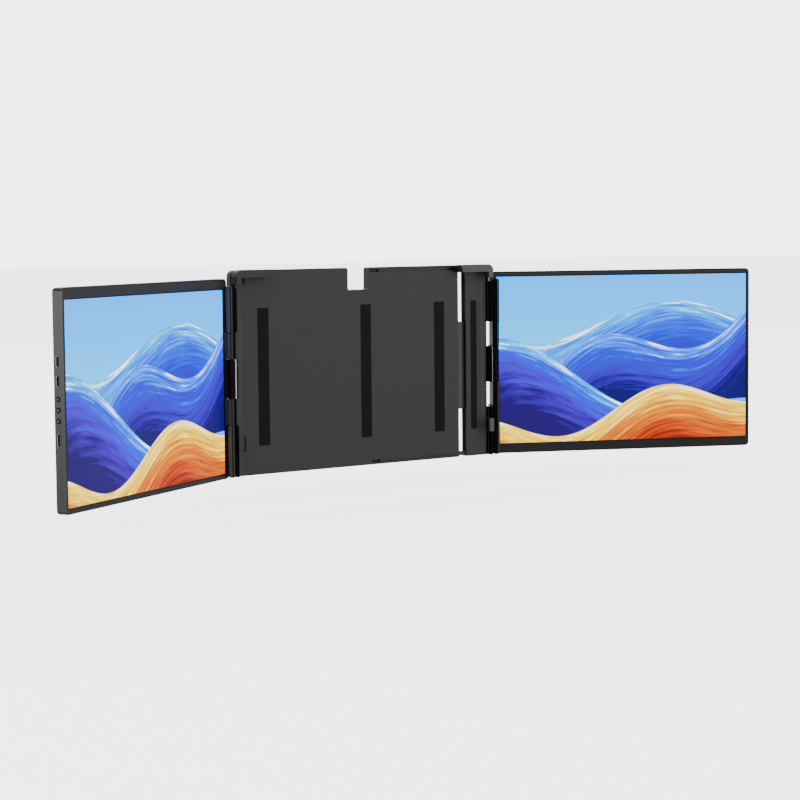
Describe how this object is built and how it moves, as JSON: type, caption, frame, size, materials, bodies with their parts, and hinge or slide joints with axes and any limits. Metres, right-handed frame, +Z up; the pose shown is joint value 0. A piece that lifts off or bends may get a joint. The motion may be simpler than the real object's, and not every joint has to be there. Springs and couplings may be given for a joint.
{
  "type": "laptop screen extender",
  "caption": "Clip-on frame that grips a laptop lid by its edges and swings a flat portable screen out on each side.",
  "frame": {"origin": "middle of the centre seat pad, on the plane where the back of the laptop's lid rests, at the mid-height of both screens", "axes": "+X to the viewer's right along the lid, +Y away from the viewer, +Z up"},
  "size_m": [0.8338, 0.1571, 0.1948],
  "materials": {
    "shell_grey": "satin",
    "bracket_grey": "satin",
    "block_grey": "satin",
    "hinge_metal": "satin",
    "bezel_charcoal": "matte",
    "panel_glass": "glossy",
    "backlight_sheet": "matte",
    "board_green": "satin",
    "steel": "brushed",
    "dark_steel": "satin",
    "zinc": "polished",
    "rubber_black": "matte",
    "nylon": "matte",
    "button_grey": "satin"
  },
  "bodies": {
    "bracket": {"bracket_front": "bracket_grey", "bracket_rear": "bracket_grey", "bracket_screws": "steel", "lid_seat_pads": "rubber_black", "guide_rails": "nylon", "slide_stop_screw": "steel", "stand_pin": "steel", "left_hinge_frame": "hinge_metal", "left_hinge_core": "rubber_black", "left_window_trim": "zinc", "left_hinge_pins": "steel", "left_hinge_washers": "zinc", "left_corner_block": "block_grey", "left_corner_liner": "rubber_black", "left_hook_pad": "rubber_black", "left_lower_clip": "block_grey", "left_clip_pad": "rubber_black"},
    "right_arm": {"slide_plate": "steel", "slide_bars": "dark_steel", "arm_shell": "bracket_grey", "arm_cover": "bracket_grey", "arm_screws": "steel", "arm_seat_pad": "rubber_black", "right_hinge_frame": "hinge_metal", "right_hinge_core": "rubber_black", "right_window_trim": "zinc", "right_hinge_pins": "steel", "right_hinge_washers": "zinc", "right_corner_block": "block_grey", "right_corner_liner": "rubber_black", "right_hook_pad": "rubber_black", "right_lower_clip": "block_grey", "right_clip_pad": "rubber_black"},
    "left_screen": {"left_rear_shell": "shell_grey", "left_front_bezel": "bezel_charcoal", "left_display_panel": "panel_glass", "left_backlight": "backlight_sheet", "left_driver_board": "board_green", "left_usb_ports": "zinc", "left_hdmi_port": "zinc", "left_hinge_leaf": "hinge_metal", "left_leaf_screws": "steel"},
    "right_screen": {"right_rear_shell": "shell_grey", "right_front_bezel": "bezel_charcoal", "right_display_panel": "panel_glass", "right_backlight": "backlight_sheet", "right_driver_board": "board_green", "right_usb_ports": "zinc", "right_hdmi_port": "zinc", "right_hinge_leaf": "hinge_metal", "right_leaf_screws": "steel"},
    "stand": {"stand_leg": "bracket_grey"},
    "stand_extension": {"stand_insert": "steel", "stand_foot": "rubber_black"},
    "left_key_1": {"left_button_1": "button_grey"},
    "left_key_2": {"left_button_2": "button_grey"},
    "left_key_3": {"left_button_3": "button_grey"},
    "right_key_1": {"right_button_1": "button_grey"},
    "right_key_2": {"right_button_2": "button_grey"},
    "right_key_3": {"right_button_3": "button_grey"}
  },
  "joints": [
    {"name": "left_screen_hinge", "type": "hinge", "parent": "bracket", "child": "left_screen", "pos_m": [-0.15955, -0.0046, 0], "axis": [0, 0, 1], "range_deg": [-39.5, 150.5]},
    {"name": "right_arm_slide", "type": "slide", "parent": "bracket", "child": "right_arm", "axis": [-1, 0, 0], "range_m": [-0.052, 0.009]},
    {"name": "right_screen_hinge", "type": "hinge", "parent": "right_arm", "child": "right_screen", "pos_m": [0.15955, -0.0046, 0], "axis": [0, 0, -1], "range_deg": [-39, 155.7]},
    {"name": "stand_hinge", "type": "hinge", "parent": "bracket", "child": "stand", "pos_m": [-0.012, 0.0125, 0.07], "axis": [1, 0, 0], "range_deg": [0, 65]},
    {"name": "stand_slide", "type": "slide", "parent": "stand", "child": "stand_extension", "axis": [0, 0, -1], "range_m": [0, 0.085]},
    {"name": "left_button_1_press", "type": "slide", "parent": "left_screen", "child": "left_key_1", "axis": [0.8704, 0.4924, 0], "range_m": [0, 0.0004], "stiffness_N_per_m": 3000},
    {"name": "left_button_2_press", "type": "slide", "parent": "left_screen", "child": "left_key_2", "axis": [0.8704, 0.4924, 0], "range_m": [0, 0.0004], "stiffness_N_per_m": 3000},
    {"name": "left_button_3_press", "type": "slide", "parent": "left_screen", "child": "left_key_3", "axis": [0.8704, 0.4924, 0], "range_m": [0, 0.0004], "stiffness_N_per_m": 3000},
    {"name": "right_button_1_press", "type": "slide", "parent": "right_screen", "child": "right_key_1", "axis": [-0.9114, 0.4115, 0], "range_m": [0, 0.0004], "stiffness_N_per_m": 3000},
    {"name": "right_button_2_press", "type": "slide", "parent": "right_screen", "child": "right_key_2", "axis": [-0.9114, 0.4115, 0], "range_m": [0, 0.0004], "stiffness_N_per_m": 3000},
    {"name": "right_button_3_press", "type": "slide", "parent": "right_screen", "child": "right_key_3", "axis": [-0.9114, 0.4115, 0], "range_m": [0, 0.0004], "stiffness_N_per_m": 3000}
  ]
}
